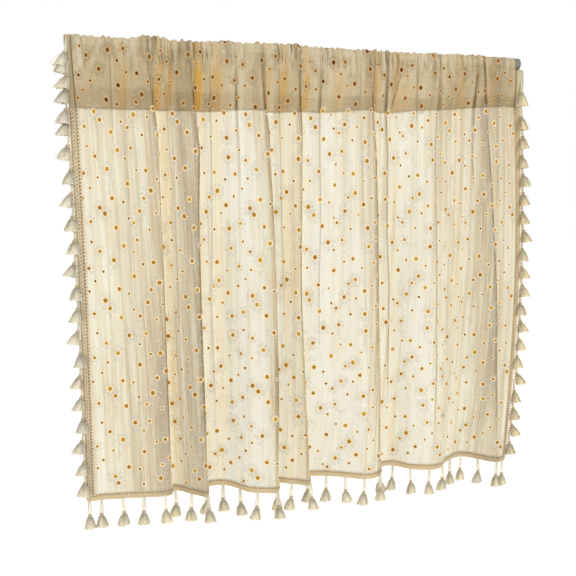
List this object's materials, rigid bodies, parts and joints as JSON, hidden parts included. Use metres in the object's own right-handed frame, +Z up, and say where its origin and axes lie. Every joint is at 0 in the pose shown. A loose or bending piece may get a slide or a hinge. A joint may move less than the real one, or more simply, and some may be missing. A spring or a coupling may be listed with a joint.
{
  "type": "sheer valance on tension rod",
  "caption": "Short sheer gathered curtain of embroidered cotton gauze, hung by a deep rod pocket on a plain tension rod, with a tasselled braid along its sides and hem.",
  "frame": {"origin": "middle of the flat end of the rod's left cap", "axes": "+X along the rod to the viewer's right, -Y towards the room, +Z up"},
  "size_m": [0.7869, 0.0823, 0.7626],
  "materials": {
    "cotton_gauze": "sheer crinkled weave",
    "cotton_braid": "braided cotton with cotton tassels",
    "rod_enamel": "satin",
    "cap_rubber": "matte"
  },
  "bodies": {
    "root": {"rod": "rod_enamel", "rod_cap_left": "cap_rubber", "rod_cap_right": "cap_rubber", "valance_cloth": "cotton_gauze", "trim_left": "cotton_braid", "trim_bottom": "cotton_braid", "trim_right": "cotton_braid"}
  },
  "joints": []
}
